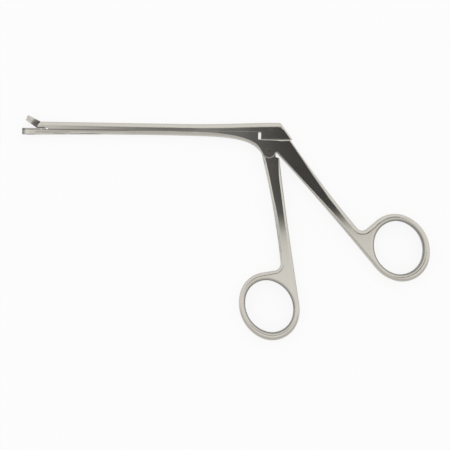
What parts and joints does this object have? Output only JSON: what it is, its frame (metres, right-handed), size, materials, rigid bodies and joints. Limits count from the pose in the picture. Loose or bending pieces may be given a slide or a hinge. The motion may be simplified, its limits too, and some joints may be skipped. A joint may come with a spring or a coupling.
{
  "type": "through-cut forceps",
  "caption": "Ring-handled surgical forceps with a long straight sliding shaft and a small through-cutting jaw that closes into a windowed lower jaw.",
  "frame": {"origin": "bottom centre of the whole instrument as it lies on its side with the jaws open", "axes": "+X back along the shaft, away from the jaws; +Y up, away from the finger ring; +Z across the instrument, out of the side that faces up when it lies flat"},
  "size_m": [0.2047, 0.1108, 0.0056],
  "materials": {
    "satin_steel": "satin stainless steel, softly polished over rounded edges",
    "ground_steel": "stainless steel, ground flush and finely polished"
  },
  "bodies": {
    "body": {"frame": "satin_steel", "handle_screw": "ground_steel", "jaw_pin": "ground_steel"},
    "handle": {"finger_handle": "satin_steel"},
    "slider": {"upper_shaft": "satin_steel", "drive_pin": "ground_steel", "link_pin": "ground_steel"},
    "jaw": {"upper_jaw": "satin_steel"}
  },
  "joints": [
    {"name": "handle_hinge", "type": "hinge", "parent": "body", "child": "handle", "pos_m": [0.02126, 0.03905, 0.0028], "axis": [0, 0, 1], "range_deg": [0, 8.01]},
    {"name": "shaft_slide", "type": "slide", "parent": "body", "child": "slider", "axis": [-1, 0, 0], "range_m": [0, 0.0014]},
    {"name": "jaw_hinge", "type": "hinge", "parent": "body", "child": "jaw", "pos_m": [-0.09253, 0.04833, 0.0028], "axis": [0, 0, 1], "range_deg": [0, 34.52]}
  ],
  "couplings": [
    {"joint": "shaft_slide", "follows": "handle_hinge", "m_per_rad": 0.010016},
    {"joint": "jaw_hinge", "follows": "handle_hinge", "ratio": 4.3105}
  ]
}
